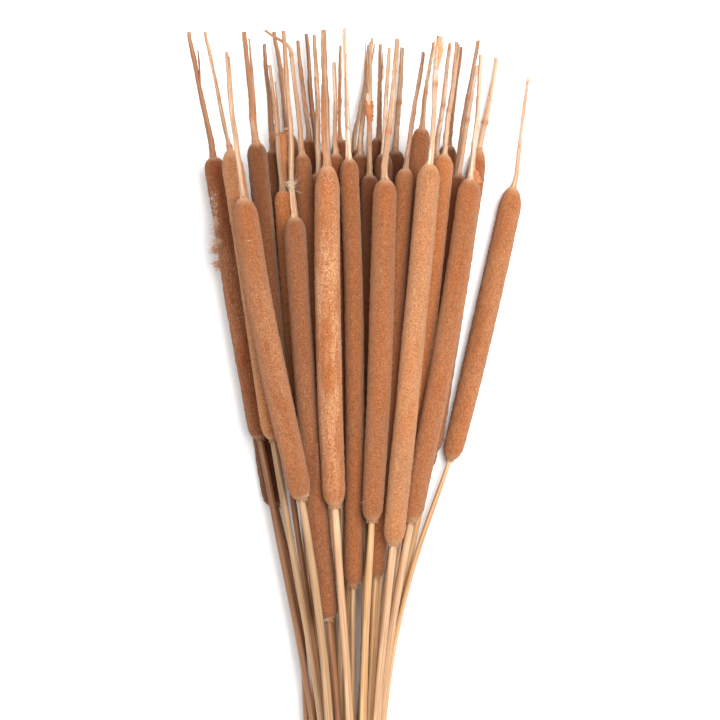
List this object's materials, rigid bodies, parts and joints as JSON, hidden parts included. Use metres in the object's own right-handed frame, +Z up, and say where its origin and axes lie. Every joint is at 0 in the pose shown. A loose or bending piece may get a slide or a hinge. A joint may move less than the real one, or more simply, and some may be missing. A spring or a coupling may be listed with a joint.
{
  "type": "dried cattail bunch",
  "caption": "Fanned bunch of dried cattails lying flat: velvety brown seed heads with bare spikes, and straw-coloured stalks that gather below them.",
  "frame": {"origin": "middle of the bunch's outline, on the surface it lies on", "axes": "+Y runs from the cut ends of the stalks towards the spikes, +X across the fan, +Z up from the surface"},
  "size_m": [0.2074, 0.717, 0.0695],
  "materials": {
    "seed_head": "matt velvety brown bristle",
    "dry_straw": "satin dried straw"
  },
  "bodies": {
    "root": {"cattail_front_1": "seed_head", "cattail_front_2": "seed_head", "cattail_front_3": "seed_head", "cattail_front_4": "seed_head", "cattail_front_5": "seed_head", "cattail_front_6": "seed_head", "cattail_front_7": "seed_head", "cattail_front_8": "seed_head", "cattail_middle_1": "seed_head", "cattail_middle_2": "seed_head", "cattail_middle_3": "seed_head", "cattail_middle_4": "seed_head", "cattail_middle_5": "seed_head", "cattail_middle_6": "seed_head", "cattail_middle_7": "seed_head", "cattail_middle_8": "seed_head", "cattail_middle_9": "seed_head", "cattail_middle_10": "seed_head", "cattail_middle_11": "seed_head", "cattail_middle_12": "seed_head", "cattail_middle_13": "seed_head", "cattail_middle_14": "seed_head", "cattail_back_1": "seed_head", "cattail_back_2": "seed_head", "cattail_back_3": "seed_head", "cattail_back_4": "seed_head", "cattail_back_5": "seed_head", "cattail_back_6": "seed_head", "cattail_back_7": "seed_head", "cattail_back_8": "seed_head", "cattail_back_9": "seed_head", "cattail_back_10": "seed_head", "cattail_back_11": "seed_head", "cattail_back_12": "seed_head", "cattail_back_13": "seed_head"}
  },
  "joints": []
}
